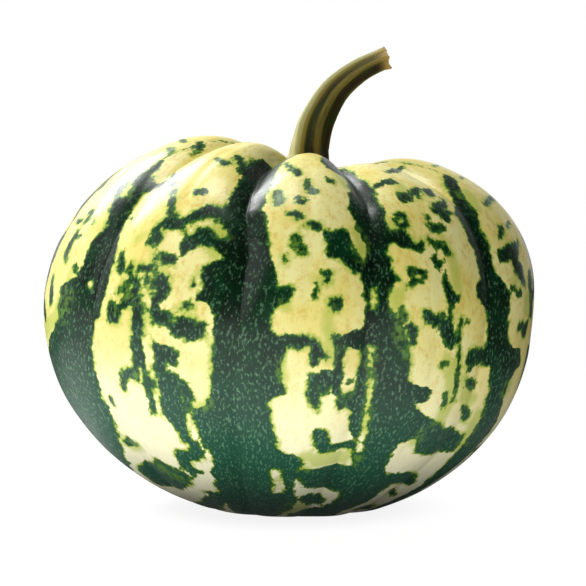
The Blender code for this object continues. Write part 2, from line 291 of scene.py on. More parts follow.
# The stripes, by groove: how far above the equator in millimetres, then the stripe's left and right edge. An
# edge is 0 in the groove and 1 or -1 in the middle of the rib beside it. A stripe ends where its edges cross.
STRIPES = {
    1: (
        (-54, -1.2, -1.3), (-50, -1.4, -1.2), (-46, -1.6, -0.75), (-43, -1.8, -0.5), (-36, -1.9, -0.25),
        (-33, -1.9, -0.14), (-30, -1.9, -0.06), (-25, -1.9, -0.04), (-20, -1.9, -0.04),
        (-14, -1.6, -0.05), (-10, -1.3, -0.03), (-8.6, -1.13, -0.02), (-5.7, -0.89, 0), (-3, -0.77, 0.04),
        (-1, -0.79, 0.17), (1, -0.79, 0.2), (4.4, -0.79, 0.22), (5.6, -0.6, 0.22), (7, -0.43, 0.22),
        (10.7, -0.38, 0.22), (15, -0.38, 0.18), (17, -0.34, 0.12), (20, -0.26, 0.04), (22, -0.3, 0),
        (25, -0.43, -0.03), (28.6, -0.5, -0.06), (30, -0.42, -0.07), (35, -0.44, -0.14),
        (38.6, -0.44, -0.27), (42, -0.48, -0.36), (45, -0.46, -0.48),
    ),
    2: (
        (-80, -0.3, 0.3), (-74, -0.5, 0.7), (-66, -0.6, 0.8), (-60, -0.6, 1.13), (-57, -0.55, 1.3),
        (-54, -0.56, 1.39), (-51, -0.52, 1.43), (-49, -0.51, 1.39), (-46, -0.5, 1.29),
        (-43, -0.47, 1.235), (-40, -0.45, 1.25), (-37, -0.41, 1.22), (-35, -0.4, 1.25),
        (-33.6, -0.4, 1.32), (-31.4, -0.42, 1.24), (-30, -0.44, 0.9), (-28.6, -0.46, 0.76),
        (-25.7, -0.5, 0.72), (-23.6, -0.51, 0.68), (-20, -0.52, 0.63), (-18.6, -0.34, 0.6),
        (-16.4, -0.26, 0.58), (-15, -0.26, 0.64), (-14.2, -0.26, 0.8), (-12.8, -0.26, 0.82),
        (-11.2, -0.26, 0.75), (-8.6, -0.26, 0.71), (-6.4, -0.26, 0.75), (-3, -0.26, 0.79),
        (-1.4, -0.26, 0.8), (-0.4, -0.26, 0.56), (2.9, -0.28, 0.53), (4.4, -0.36, 0.54),
        (5.7, -0.5, 0.545), (8.8, -0.47, 0.54), (10.7, -0.5, 0.53), (12.9, -0.5, 0.47),
        (14.4, -0.42, 0.43), (16, -0.3, 0.4), (17.4, -0.38, 0.37), (18.4, -0.5, 0.34), (21.4, -0.5, 0.24),
        (25.7, -0.5, 0.18), (28.6, -0.52, 0.09), (30, -0.5, 0.02), (36, -0.5, 0.02), (40, -0.51, 0),
        (43, -0.6, 0), (47, -0.66, 0), (51, -0.63, 0.02), (53.6, -0.58, 0.1), (56, -0.35, 0.2),
        (62, -0.3, 0.3), (74, 0, 0),
    ),
    3: (
        (-80, -0.3, 0.3), (-70, -0.4, 0.9), (-62, -0.4, 1.1), (-58, -0.3, 1.02), (-56, 0, 1),
        (-54, 0.26, 1.05), (-50, 0.37, 1.27), (-48, 0.38, 1.3), (-45, 0.3, 1.215), (-43.5, 0.1, 1.25),
        (-42, -0.1, 1.28), (-40, -0.4, 1.29), (-38, -0.66, 1.12), (-36.2, -0.7, 0.97),
        (-35.2, -0.5, 0.92), (-34.2, 0.1, 0.88), (-32, 0.17, 0.83), (-30, 0.12, 0.81), (-28, 0.08, 0.82),
        (-26, 0.1, 0.83), (-25, 0.06, 0.95), (-24, 0, 1.25), (-22, -0.04, 1.3), (-20, -0.06, 1.28),
        (-18.6, -0.08, 1.19), (-17.4, -0.14, 1.07), (-16.4, -0.2, 0.9), (-15, -0.2, 0.86),
        (-14, -0.1, 1.06), (-11, -0.07, 1.1), (-10.2, -0.07, 0.72), (-8.6, -0.07, 0.64),
        (-5.7, -0.07, 0.636), (-3.4, -0.07, 0.6), (-2.4, -0.26, 0.59), (-1, -0.52, 0.575),
        (0.4, -0.4, 0.55), (1.6, -0.14, 0.53), (3.4, -0.08, 0.45), (4.6, -0.08, 0.33), (7, -0.1, 0.265),
        (10, -0.14, 0.245), (11.4, -0.15, 0.285), (13.6, -0.2, 0.355), (15.7, -0.2, 0.29),
        (17, -0.14, 0.25), (20, -0.13, 0.215), (22.4, -0.18, 0.28), (24.3, -0.22, 0.34), (26, -0.3, 0.3),
        (28.6, -0.33, 0.25), (31, -0.4, 0.26), (33.6, -0.38, 0.26), (36, -0.34, 0.25), (40, -0.29, 0.28),
        (44.4, -0.3, 0.28), (45.4, -0.56, 0.26), (46.6, -0.75, 0.25), (49, -0.86, 0.23),
        (51, -0.885, 0.22), (57, -0.8, 0.2), (66, -0.5, 0.2), (74, 0, 0),
    ),
    4: (
        (-78, -0.3, 0.3), (-60, 0.3, 0.7), (-52, 0.45, 0.8), (-44, 0.5, 0.85), (-36, 0.45, 0.95),
        (-30, 0.4, 1.05), (-25, 0.42, 1.1), (-20, 0.4, 1.05), (-17.6, 0.36, 0.91), (-14, 0.32, 0.81),
        (-10.4, 0.28, 0.81), (-8.6, 0.24, 0.88), (-6.1, 0.18, 1.05), (-5, 0.04, 1.05),
        (-2.6, -0.04, 0.97), (-1.6, 0.02, 0.57), (0.3, 0.04, 0.525), (3, 0.05, 0.46), (5, 0, 0.44),
        (7.2, -0.08, 0.5), (8.6, -0.22, 0.48), (10.3, -0.31, 0.463), (12.2, -0.3, 0.36),
        (14.4, -0.19, 0.29), (16, -0.2, 0.18), (20.3, -0.22, 0.16), (24.4, -0.29, 0.16),
        (27.4, -0.31, 0.146), (30, -0.31, 0.22), (32.6, -0.32, 0.3), (34.4, -0.15, 0.25), (36, 0, 0.26),
        (39, 0.08, 0.34), (41.7, 0.16, 0.46), (43.5, 0.22, 0.6), (45.5, 0.36, 0.62), (47.5, 0.5, 0.5),
    ),
}
# The grooves out of sight have stripes of an even width that wander by chance, in the same terms.
HIDDEN_STRIPES = (0, 5, 6, 7, 8, 9)
STRIPE_FOOT = (-80, -0.2, 0.2)
STRIPE_LEVELS = range(-72, 60, 6)
STRIPE_HALF_WIDTH = 0.34
STRIPE_UNEVEN = 0.17
STRIPE_TOPS = (64, 70)
STRIPE_TOP_OVERLAP = 0.05

# Green marks on the ribs, by rib, each as a brush stroke through some points. A point is its place across the
# rib from -1 to 1, its millimetres above the equator, and the stroke's width there in millimetres.
MARKS = {
    0: (
        ((0.37, 34.4, 1.6), (0.45, 32, 2.4), (0.52, 29.6, 2), (0.6, 27.6, 2.4)),
        ((0.5, 54.6, 1.3), (0.62, 53.2, 1.5), (0.74, 50, 0.9)),
        ((0.12, 22.4, 1.6), (0.2, 22.8, 1.9), (0.19, 20.6, 1.8)), ((0.06, 20.4, 1), (-0.16, 19.8, 1.4)),
        ((0.37, 21.3, 0.9), (0.43, 20, 1)),
        (
            (0.25, 16.4, 1.2), (0.08, 16.4, 1.9), (0.06, 14, 3), (0.06, 12, 2.9), (0.12, 10.4, 1.6),
            (0.19, 10, 1.2),
        ),
        ((0.46, 9.6, 1.4), (0.52, 8.6, 1.8)), ((0.2, 47, 1.2), (0.35, 47.4, 1.6), (0.48, 46, 1.2)),
        ((-0.55, 53.6, 1.2), (0.2, 51.8, 1.4)), ((0.82, 37.4, 0.9), (0.93, 33, 1.1)),
        ((-0.5, 20, 4), (-0.55, 10, 3)), ((-0.7, 0, 3), (-0.4, -4, 3)), ((-0.6, 36, 2), (-0.3, 30, 2)),
        ((-0.2, 5, 2.4), (-0.1, 0, 2.4)),
    ),
    1: (
        ((0.17, 47.4, 1.5), (0.34, 45, 2.6), (0.48, 42.4, 2.4)),
        ((-0.15, 44.8, 1), (0.04, 43.2, 2.2), (0.19, 44.2, 1)), ((0.02, 31.6, 1.7), (0.13, 32.2, 1.8)),
        ((-0.36, 31.4, 1.5), (-0.3, 30, 1.9), (-0.2, 26, 1.1), (-0.12, 24.5, 1.7)),
        ((-0.14, 22.4, 3.2), (0.04, 22.4, 2.5), (0.17, 24.8, 2.6), (0.33, 26.8, 3.4), (0.55, 27.2, 3.4)),
        ((0.6, 20.4, 5.6), (0.34, 20, 5.2), (0.25, 18, 3.4), (0.2, 15.2, 1.2)),
        ((0.14, 21.4, 1.6), (0.3, 21, 2.4)), ((-0.25, 21.6, 2.1), (-0.24, 18.4, 3.7), (-0.2, 16.6, 2)),
        ((-0.2, 17, 1.5), (-0.13, 14, 1.2), (-0.09, 11, 1.4), (-0.06, 8, 1.6)),
        ((-0.05, 15, 1.2), (0, 13.6, 2.6), (0.13, 14, 1.7)), ((-0.3, 11, 1.3), (-0.2, 10.8, 2.2)),
        ((-0.45, 11.6, 1.2), (-0.43, 9.8, 1.6)),
        ((-0.68, 14.4, 1.8), (-0.64, 11.4, 2.2), (-0.6, 10, 1.8)),
        ((-0.46, 7.6, 1.8), (-0.31, 7.9, 2), (-0.29, 5.4, 2.6), (-0.4, 3, 3.2)),
        ((-0.55, 5.4, 1.3), (-0.45, 5.6, 1.8)),
        ((-0.64, 2.8, 1.6), (-0.58, -0.4, 4.3), (-0.47, 1.8, 1.7)), ((-0.36, 3.2, 2), (-0.22, 3, 2)),
        (
            (-0.22, 4, 2.6), (-0.2, 0, 3.7), (-0.2, -3, 2.9), (-0.17, -6, 4), (-0.17, -10, 3.8),
            (-0.16, -13, 4.6),
        ),
        ((-0.16, -13, 3), (-0.32, -13.2, 2.6), (-0.44, -14.4, 2.6), (-0.47, -17.4, 2)),
        ((-0.13, -4.4, 2.6), (-0.06, -5.4, 1.6)),
        ((-0.17, 8.6, 1.9), (-0.1, 7.8, 2.2), (0.04, 8.6, 3.6), (0.09, 6.6, 3.4), (0.03, 5, 2.4)),
        ((-0.02, 4.8, 2.2), (0, 2.8, 2.2), (0.06, 0.8, 3.2), (0.14, 0.5, 3.6), (0.21, 0.6, 1.8)),
        ((0, 1, 1.2), (-0.02, -1.2, 0.9)), ((0.42, 4.2, 1.6), (0.33, 3.6, 1.2), (0.47, 4.3, 1)),
        ((0.42, 9.8, 1.2), (0.43, 8.8, 0.9)),
        (
            (0.22, -1.2, 1.7), (0.3, -1.8, 3.1), (0.42, -0.8, 4.8), (0.48, -2.8, 3), (0.57, -1.6, 3.4),
            (0.62, -0.2, 1.8),
        ),
        ((0.05, -6.4, 1.9), (0.15, -7.6, 4.7), (0.25, -7.8, 3.6)),
        ((0.12, -10, 3), (0.1, -12.8, 2.8), (0.2, -14.4, 4.4)),
        ((0.2, -14.4, 5.6), (0.22, -18, 6.4), (0.25, -22, 6), (0.29, -25, 4), (0.33, -27.4, 2.4)),
        ((0.3, -13.4, 1.9), (0.4, -15, 3), (0.45, -18, 2.8), (0.46, -20.4, 2)),
        ((-0.1, -13.8, 3), (-0.06, -16, 2), (-0.07, -22.4, 1.6)),
        (
            (0.3, -29.4, 2.2), (0.42, -29.6, 2.4), (0.43, -33.4, 3.2), (0.32, -34.8, 3.8),
            (0.17, -34.8, 4.4), (0.15, -39, 3.4), (0.2, -42, 1.9),
        ),
        ((0.18, -40, 2.4), (0.33, -40.4, 1.2)), ((-0.8, -22.8, 1.4), (-0.85, -21.6, 1.4)),
        ((-1.05, -36, 2.4), (-0.85, -34.6, 2.8), (-0.7, -35, 1.2)),
        ((-0.98, 39.4, 0.7), (-0.75, 38, 1), (-0.6, 35.5, 1), (-0.46, 33, 0.9)),
        ((-1.1, 35, 2.8), (-0.8, 34, 2.4), (-0.5, 33.8, 2.4)), ((-1, 23.9, 1), (-0.86, 23.7, 0.8)),
        ((-1.1, -49, 9), (-0.6, -46, 9.4), (-0.3, -43.8, 8.4), (-0.02, -43, 3)),
        ((-0.34, -40, 2.4), (-0.4, -38.6, 1.8)),
        ((0.45, -52, 4), (0.2, -55, 4.6), (-0.25, -61, 4.8), (-0.7, -64, 4.6), (-1.1, -66, 4.6)),
        ((0.22, -50.4, 1.6), (0.4, -51.4, 3)),
    ),
    2: (
        ((-0.53, 43.8, 1.4), (-0.47, 42, 1.6)), ((-0.8, 34.6, 2.2), (-0.7, 31.6, 2)),
        ((-0.96, 51, 0.7), (-0.64, 44.4, 0.9)), ((-0.22, 39.6, 1), (-0.18, 37, 1.3), (-0.1, 35.4, 2)),
        ((-0.37, 33.4, 1.2), (-0.32, 32.4, 2.1), (-0.21, 32.8, 1.4)),
        ((0.21, 40.2, 1.8), (0.27, 40, 1.6)), ((-0.45, 28, 1.6), (-0.36, 28.1, 2), (-0.27, 27.1, 1.5)),
        ((-0.16, 25, 1), (-0.04, 25.2, 1.6), (0.02, 24.8, 2)),
        ((-0.32, 21.8, 1.2), (-0.25, 20.6, 1.8), (-0.31, 19.6, 1.1)),
        ((-0.25, 20.4, 1.4), (-0.16, 19, 2.2), (-0.12, 20, 1)), ((-0.46, 17.4, 0.9), (-0.42, 16, 1.5)),
        ((0.19, 13.8, 1.6), (0.26, 13.7, 2), (0.28, 12, 1.8)),
        ((0.08, 11.2, 0.9), (0.1, 9.8, 1.3), (0.11, 8.4, 0.9)),
        ((0.35, 7.5, 1.2), (0.44, 7.2, 2.2), (0.43, 6.2, 1.6), (0.5, 7, 1.1)),
        (
            (0.22, 22.8, 2.8), (0.32, 22.4, 4.4), (0.46, 22.8, 4.2), (0.5, 21.4, 3.4), (0.36, 19.4, 3.8),
            (0.5, 19, 3.2),
        ),
        ((0.45, 19.4, 3.6), (0.62, 17.8, 3.8), (0.76, 16.4, 3.8), (0.95, 15.8, 2.4)),
        ((-0.5, 8, 5), (-0.38, 8.2, 4), (-0.25, 9.4, 2.2)),
        ((-0.3, -1.7, 2.8), (0.08, -1.4, 2.6), (0.17, -1.8, 2.2), (0.24, -3.6, 2.2), (0.36, -4.2, 1.6)),
        ((0.2, -3.4, 2.4), (0.22, -6, 1.6)), ((0, -3, 1.3),),
        ((0.22, -10.2, 2.4), (0.25, -13, 3), (0.29, -15.6, 2.4), (0.33, -17.2, 1.3)),
        ((0.28, -9.8, 1.9), (0.42, -10, 4.2), (0.53, -9.6, 3.6), (0.4, -12, 2.6)),
        ((0.5, -0.6, 2.4), (0.58, -2, 2.8), (0.58, -6, 2.7), (0.57, -9, 3.2)),
        ((0.57, -9, 2.8), (0.6, -12, 2), (0.68, -14.6, 1.8), (0.75, -16.4, 2)),
        ((0.8, -10.4, 1.2), (0.84, -10.4, 1)), ((0.8, -14, 1.2), (0.9, -13.4, 1.4)),
        (
            (0.42, -23.6, 1.9), (0.49, -24.6, 2.8), (0.55, -27, 3.4), (0.66, -28.4, 2.6),
            (0.9, -28.2, 2.2), (1.05, -28, 2.4),
        ),
        ((0.27, -37, 2.6), (0.45, -38.2, 4.4), (0.75, -40, 7.2), (1.05, -41, 8)),
        ((0.66, -48, 3), (0.8, -49.8, 4.4), (1, -51.6, 4)), ((0.65, -61, 3.4), (1, -59, 5)),
    ),
    3: (
        ((-0.72, 42, 1.4), (-0.52, 43, 1.8), (-0.36, 43.7, 2.6), (-0.26, 43.8, 2.8), (-0.17, 43.2, 1.8)),
        ((-0.3, 35.6, 1.8), (-0.24, 37.8, 2.3), (-0.14, 36, 1.6)),
        ((-0.08, 38, 1.7), (0.02, 38.5, 2), (0.1, 39.2, 2.3), (0.2, 40.4, 1.7)),
        ((0.11, 38, 1.5), (0.05, 36.4, 1.2)),
        ((0.37, 37.6, 1.9), (0.42, 39.4, 2.9), (0.5, 40.4, 2), (0.57, 40.7, 1.2)),
        ((0.24, 31.8, 2.4), (0.33, 32, 3.8), (0.37, 30.2, 3.2), (0.36, 28.8, 1.4)),
        ((0.33, 33.4, 2.6), (0.47, 34, 3), (0.58, 34.8, 2.2), (0.65, 36.2, 1.5)),
        ((0.45, 32, 1.8), (0.54, 31.6, 1.6)),
        ((-0.57, 30.6, 1.2), (-0.45, 30.4, 1.8), (-0.43, 28.6, 2.2), (-0.5, 27.2, 2), (-0.57, 28.8, 2.4)),
        ((0.03, 29.8, 1.5), (0, 28, 1.7), (0.06, 26.6, 2.4), (0.19, 26.9, 1.9)),
        (
            (-0.75, 24.2, 3.4), (-0.58, 24, 4.4), (-0.48, 22.8, 3.2), (-0.42, 21.6, 2), (-0.3, 21.4, 2.4),
            (-0.24, 22.2, 1.2),
        ),
        ((-0.12, 23.5, 1), (0, 22.8, 2), (0.1, 21.9, 2.4), (0.17, 20.2, 2)),
        ((-0.07, 19.2, 1.3), (-0.02, 17.6, 1.6), (0.01, 16.2, 1)), ((0, 17.6, 1), (0.07, 18, 1)),
        ((0.08, 16.2, 1.2), (0.09, 13.6, 1.5), (0.13, 11.4, 2.5), (0.18, 9.8, 3.4), (0.28, 9.6, 2.1)),
        ((0.16, 8.6, 2), (0.17, 6, 1.4), (0.18, 4, 2)),
        (
            (-0.47, 15.3, 1.4), (-0.36, 15.5, 1.6), (-0.23, 15.2, 1.3), (-0.3, 13.7, 1.5),
            (-0.42, 13.2, 1.7), (-0.51, 11.9, 1.2),
        ),
        ((-0.56, 6.6, 1.9), (-0.54, 5, 2.2), (-0.58, 3.4, 1.6)),
        ((-0.44, 3, 1.4), (-0.38, 2, 2.2), (-0.38, -0.2, 2)), ((0.04, 5.8, 1.4), (0.06, 4.4, 1.6)),
        (
            (-0.22, 6, 1.5), (-0.14, 4.8, 2.3), (-0.02, 4.2, 2.6), (0.1, 3.8, 2.8), (0.16, 2.2, 3.8),
            (0.2, 0.6, 3.4), (0.25, -1, 2),
        ),
        ((0.24, 0.2, 2), (0.31, 0.2, 1.4)), ((0.34, 3.4, 1.2), (0.42, 4.8, 1.7), (0.5, 4.6, 1.2)),
        ((0.33, 3.2, 1.4), (0.38, 0, 1.3), (0.43, -5, 1.2), (0.5, -11, 1.3), (0.54, -14, 1.7)),
        ((0.12, -5, 0.9), (0.22, -5.2, 1.3), (0.28, -4.6, 0.9)),
        ((0.3, -13.6, 1.3), (0.33, -12, 1.6), (0.34, -15, 2)),
        ((0.66, -4.6, 2.8), (0.72, -3.8, 3.6), (0.95, -3.8, 3.8), (1.1, -4.2, 3.6)),
        ((0.69, -6.6, 1.7), (0.78, -5.4, 1.6)),
        ((0.7, -10.6, 1.4), (0.79, -9.6, 2), (0.92, -11, 2.2), (1, -11.2, 1.2)),
        ((0.84, -16.6, 1.1), (0.95, -17.6, 2.3), (1.06, -19.2, 2.6)),
        ((0.2, -21, 5), (0.45, -25.6, 7.4), (0.75, -26.2, 8), (1.1, -27.6, 6.4)),
        ((0.14, -37.4, 3.4), (0.4, -38, 4.4), (0.7, -40, 4), (1.05, -42.4, 3.2)),
        ((0.58, -44.6, 1), (0.85, -47, 1.5), (1.1, -49, 1.6)),
        ((-0.06, 49.4, 1), (0.2, 50.6, 2.4), (0.5, 52.6, 2), (0.9, 56.4, 2.2), (1.1, 57.4, 2.4)),
        ((0.5, -55, 3), (1.05, -57, 3)), ((0, 21.4, 1), (0.24, 19.4, 0.7)),
    ),
    4: (
        ((-0.54, 24.4, 1.4), (-0.42, 26, 1.9), (-0.35, 27, 1.3)),
        ((-0.16, 27, 1.1), (0, 28, 1.6), (0.08, 28.3, 0.9)),
        ((-0.63, 19.8, 3.4), (-0.45, 20.2, 3.8), (-0.3, 20, 4.2), (-0.15, 21.6, 2.8), (0, 22.6, 1.5)),
        ((-0.3, 17.4, 3.8), (-0.2, 15.8, 4), (-0.12, 13.6, 2.4), (-0.05, 12.2, 1.1)),
        ((-0.5, 11.8, 1.2), (-0.42, 12, 1.3), (-0.36, 10.8, 2), (-0.24, 10.8, 1.1)),
        ((-0.2, 2.8, 1.7), (-0.08, 2.8, 2.6), (0, 1.2, 2.6), (0.1, 3, 2.4)),
        ((-0.35, 33.8, 1.2), (-0.1, 35.2, 1.6), (0.3, 36, 1.8), (0.7, 35.6, 1.8)),
        ((-0.28, 51, 0.9), (0, 51.4, 0.9), (0.5, 53, 1.1)), ((-0.1, 44, 0.7), (0.04, 44.3, 0.8)),
        ((0.2, 14, 4), (0.3, 6, 3.4)), ((0.5, 24, 4), (0.6, 16, 3), (0.45, 10, 2.4)),
        ((0.4, -4, 3.4), (0.5, -12, 3)), ((0.2, -30, 3), (0.35, -38, 3)), ((0.1, -48, 3), (0.6, -50, 3)),
    ),
}

# Cream left inside the green, in the same terms.
WINDOWS = {
    0: (
        ((0.6, 31.6, 1.6), (0.66, 29.4, 2.4)), ((0.86, 5.6, 1),),
    ),
    1: (
        ((0.16, 21.9, 2), (0.22, 21.7, 2.4)), ((0.5, 23.6, 1.4), (0.62, 21.8, 1.9)),
        ((-0.19, 17, 0.6), (-0.1, 9, 0.7), (-0.14, 3.4, 0.9), (-0.1, -1, 1)),
        ((-0.1, -1, 1.2), (-0.05, -6, 1.9), (-0.01, -11.6, 2)), ((0.43, -22.6, 2.2), (0.46, -28, 2.4)),
        ((-0.15, -11.8, 1), (-0.16, -14.2, 1)),
    ),
    2: (
        ((-0.23, -36.8, 2.3), (-0.17, -41, 2.4), (-0.1, -45, 2.6)), ((-0.26, 33, 0.6),),
        ((0.72, 23.6, 1), (0.84, 20.4, 2)),
    ),
    3: (
        (
            (-0.92, -3, 1.5), (-0.9, -7, 0.9), (-0.86, -13, 1.1), (-0.82, -18, 0.9), (-0.79, -23, 1.5),
            (-0.76, -28.4, 1.6),
        ),
        ((-0.96, -32.6, 3.4), (-0.86, -33, 2.6)), ((-0.98, 11, 0.8), (-0.96, 7.4, 0.9)),
        ((-0.35, 14.4, 1), (-0.42, 14.3, 0.8)), ((-0.5, 28.9, 0.7),),
    ),
}

# Skin that is still turning from green to cream, in the same terms.
TURNING = {
    0: (
        ((0.1, 47, 3), (0.4, 47, 3)), ((0.42, 8, 2), (0.3, 0, 3), (0, -5, 4), (-0.4, -7, 4)),
        ((0.35, -2, 4), (0.5, 2, 3)), ((0.5, 33, 3), (0.7, 30, 3)),
    ),
    1: (
        ((-0.5, 18, 1.8), (-0.42, 19, 1.6)), ((-0.18, 16, 1.6), (-0.08, 8, 1.8)), ((-0.4, 5.4, 3.2),),
        ((-0.6, 0.6, 2.6),), ((0.5, 23.4, 2.6), (0.64, 21.6, 3)), ((-0.2, -14, 3), (-0.14, -12, 1.6)),
        ((0.5, -19.4, 2.6), (0.7, -18.6, 2.4)), ((-1, -37, 4), (-0.7, -35, 3)),
        ((-0.1, -44, 5), (-0.5, -42, 5)), ((0.6, 16.4, 2.4),), ((-0.45, 11, 2.4),),
        ((-0.5, 7.6, 2), (-0.54, 5, 2)),
    ),
    2: (
        ((-0.26, 20.4, 3.2), (-0.2, 19.6, 2.4)), ((-0.45, 17, 2.4), (-0.42, 16, 2.4)),
        ((-0.2, 39, 2), (-0.12, 35.6, 2.4)), ((0.72, 25, 2.4), (0.8, 21, 3.4), (0.84, 18.6, 2.6)),
        ((0.34, 5, 2.4), (0.4, 0, 3), (0.45, -4.4, 3.6)), ((0.1, 12, 2),), ((-0.3, 6, 2.4),),
        ((-0.24, -10, 2.4), (-0.28, -6, 1.8)), ((0.3, -31, 3), (0.6, -32, 5.4), (1, -32, 5)),
        ((0.35, -35, 3),), ((-0.8, 34, 4), (-0.7, 31.6, 3)), ((0.8, -13.6, 2.4),),
        ((0.55, 44, 3), (0.65, 40, 2.4)), ((0.5, -54, 6), (0.4, -59, 5)),
    ),
    3: (
        ((-0.66, 10, 3.4), (-0.58, 2, 2.4), (-0.45, -3, 2)),
        ((0.12, 24, 2.4), (0.25, 19, 2.6), (0.28, 13, 3)),
        ((0.2, -4, 2.4), (0.33, -8, 3.4), (0.44, -14, 4), (0.4, -19, 4)),
        ((0.62, -9, 2.4), (0.8, -13, 4.4), (1, -15, 3)),
        ((-0.92, -4, 2.4), (-0.86, -12, 1.6), (-0.78, -24, 1.4)), ((0.1, -25, 3.4), (0.16, -23, 2)),
        ((-0.35, 14.4, 2.4),), ((0.8, -10.4, 3),), ((-0.1, 42, 2.4), (-0.2, 39, 2.4)), ((0.55, 32, 2.4),),
        ((-0.72, -31, 2), (-0.66, -35, 1.6)), ((-0.6, 26.8, 2),),
    ),
    4: (
        ((-0.6, 38, 4), (-0.7, 33, 3)), ((-0.7, -19, 4), (-0.6, -27, 4)), ((-0.2, -12, 5),),
        ((0.1, 8, 6),), ((-0.4, 13, 3),),
    ),
}

# The ribs out of sight have strokes of a few points each, scattered by chance.
HIDDEN_RIBS = (5, 6, 7, 8, 9)
HIDDEN_MARKS = 30
MARK_SPREAD = 0.36
MARK_LEVELS = (-54, 52)
MARK_WIDTHS = (1.4, 2.0, 2.8, 3.6)
MARK_STEPS = (1, 2, 2, 3, 4)
MARK_DRIFT = 0.13
MARK_CLIMB = (-3.6, 2.4)
MARK_SWELL = (0.6, 1.3)
WINDOW_LEVELS = (-40, 30)
WINDOW_FOOT = (-0.8, -30, 1.0)

chance = random.Random(5)
for groove in HIDDEN_STRIPES:
    edges = [STRIPE_FOOT]
    for place in STRIPE_LEVELS:
        left = -STRIPE_HALF_WIDTH + chance.uniform(-1, 1) * STRIPE_UNEVEN
        right = STRIPE_HALF_WIDTH + chance.uniform(-1, 1) * STRIPE_UNEVEN
        edges.append((place, left, right))
    edges.append((chance.uniform(*STRIPE_TOPS), STRIPE_TOP_OVERLAP, -STRIPE_TOP_OVERLAP))
    STRIPES[groove] = edges
for rib in HIDDEN_RIBS:
    strokes = []
    for _ in range(HIDDEN_MARKS):
        place = chance.gauss(0, MARK_SPREAD)
        level = chance.uniform(*MARK_LEVELS)
        wide = chance.choice(MARK_WIDTHS)
        stroke = [(place, level, wide)]
        for _ in range(chance.choice(MARK_STEPS)):
            place += chance.uniform(-MARK_DRIFT, MARK_DRIFT)
            level += chance.uniform(*MARK_CLIMB)
            stroke.append((place, level, wide * chance.uniform(*MARK_SWELL)))
        strokes.append(stroke)
    MARKS[rib] = strokes
    TURNING[rib] = strokes[::3]
    WINDOWS[rib] = [((-0.85, chance.uniform(*WINDOW_LEVELS), 1.2), WINDOW_FOOT)]

# The green follows the skin's cells, so the ends of a stroke are squarish and its edges are uneven.
STROKE_SQUARENESS = 3.0
EDGE_WOBBLE = 0.5
EDGE_WOBBLE_SIZE = 3.0
FAR_OUTSIDE = -30.0


def inside_strokes(strokes, across_here, along_here, half_here):
    """How far inside the nearest of these strokes each point is, in millimetres. Outside, it is below 0."""
    nearest = np.full(along_here.shape, FAR_OUTSIDE)
    for stroke in strokes:
        points = np.array(stroke)
        for start, stop in zip(points, points[1:] if len(points) > 1 else points):
            run_across = (stop[0] - start[0]) * half_here
            run_along = stop[1] - start[1]
            from_across = (across_here - start[0]) * half_here
            from_along = along_here - start[1]
            run_length = np.maximum(run_across**2 + run_along**2, 1e-6)
            part = np.clip((from_across * run_across + from_along * run_along) / run_length, 0, 1)
            away_across = np.abs(from_across - part * run_across)
            away_along = np.abs(from_along - part * run_along)
            away = away_across**STROKE_SQUARENESS + away_along**STROKE_SQUARENESS
            half_stroke = (start[2] + part * (stop[2] - start[2])) / 2
            nearest = np.maximum(nearest, half_stroke - away ** (1 / STROKE_SQUARENESS))
    return nearest


def inside_marks_of(rib, across_here, along_here, half_here):
    """How far inside this rib's green marks, its windows and its turning skin each point is."""
    places = (across_here, along_here, half_here)
    return [inside_strokes(strokes.get(rib, ()), *places) for strokes in (MARKS, WINDOWS, TURNING)]


rib_half_mm = half_width / MM
along_wobbled = along + EDGE_WOBBLE * wobble(drum, EDGE_WOBBLE_SIZE, 2)
across_wobbled = across + 2 * sway / width + EDGE_WOBBLE * wobble(drum, EDGE_WOBBLE_SIZE, 3) / rib_half_mm
green = np.full(along.shape, FAR_OUTSIDE)
turning = np.full(along.shape, FAR_OUTSIDE)
for rib in range(len(RIBS)):
    here = np.s_[:, rib * RIB_COLUMNS : (rib + 1) * RIB_COLUMNS]
    across_here = across_wobbled[here]
    along_here = along_wobbled[here]
    half_here = rib_half_mm[here]
    found, cleared, ripening = inside_marks_of(rib, across_here, along_here, half_here)
    # A mark that reaches a groove runs on over it, so the marks of the ribs on both sides are looked at too.
    for side in (-1, 1):
        beside = (rib + side) % len(RIBS)
        near_column = beside * RIB_COLUMNS + (RIB_COLUMNS - 1 if side < 0 else 0)
        half_beside = rib_half_mm[:, near_column : near_column + 1]
        across_beside = -side + (across_here - side) * half_here / half_beside
        depths = inside_marks_of(beside, across_beside, along_here, half_beside)
        found, cleared, ripening = (np.maximum(*pair) for pair in zip((found, cleared, ripening), depths))
    for groove, from_groove in ((rib, across_here + 1), ((rib + 1) % len(RIBS), across_here - 1)):
        left = eased(along_here, [(knot[0], knot[1]) for knot in STRIPES[groove]])
        right = eased(along_here, [(knot[0], knot[2]) for knot in STRIPES[groove]])
        found = np.maximum(found, np.minimum(from_groove - left, right - from_groove) * half_here)
    green[here] = np.minimum(found, -cleared)
    turning[here] = ripening

# The scar of the flower, as a share of full cork: in the dimple, round it on the skin, and in its middle.
SCAR_IN_DIMPLE = (1.4, 1.0)
SCAR_FADE = ((-84.3, 1), (-80, 0))
SCAR_MIDDLE = 1.5


def whole_rind(values, at_dimple, at_seat):
    """Values on the skin's rows, carried on over the dimple's and the seat's rings and the two end points."""
    below = [np.broadcast_to(at_dimple, values[0].shape)] * len(dimple)
    above = [np.broadcast_to(at_seat, values[0].shape)] * (len(funnel) + 2)
    every = np.concatenate([below, values, above])
    every = every.reshape(-1, *values.shape[2:])
    return np.concatenate([every, every[:1], every[-1:]])


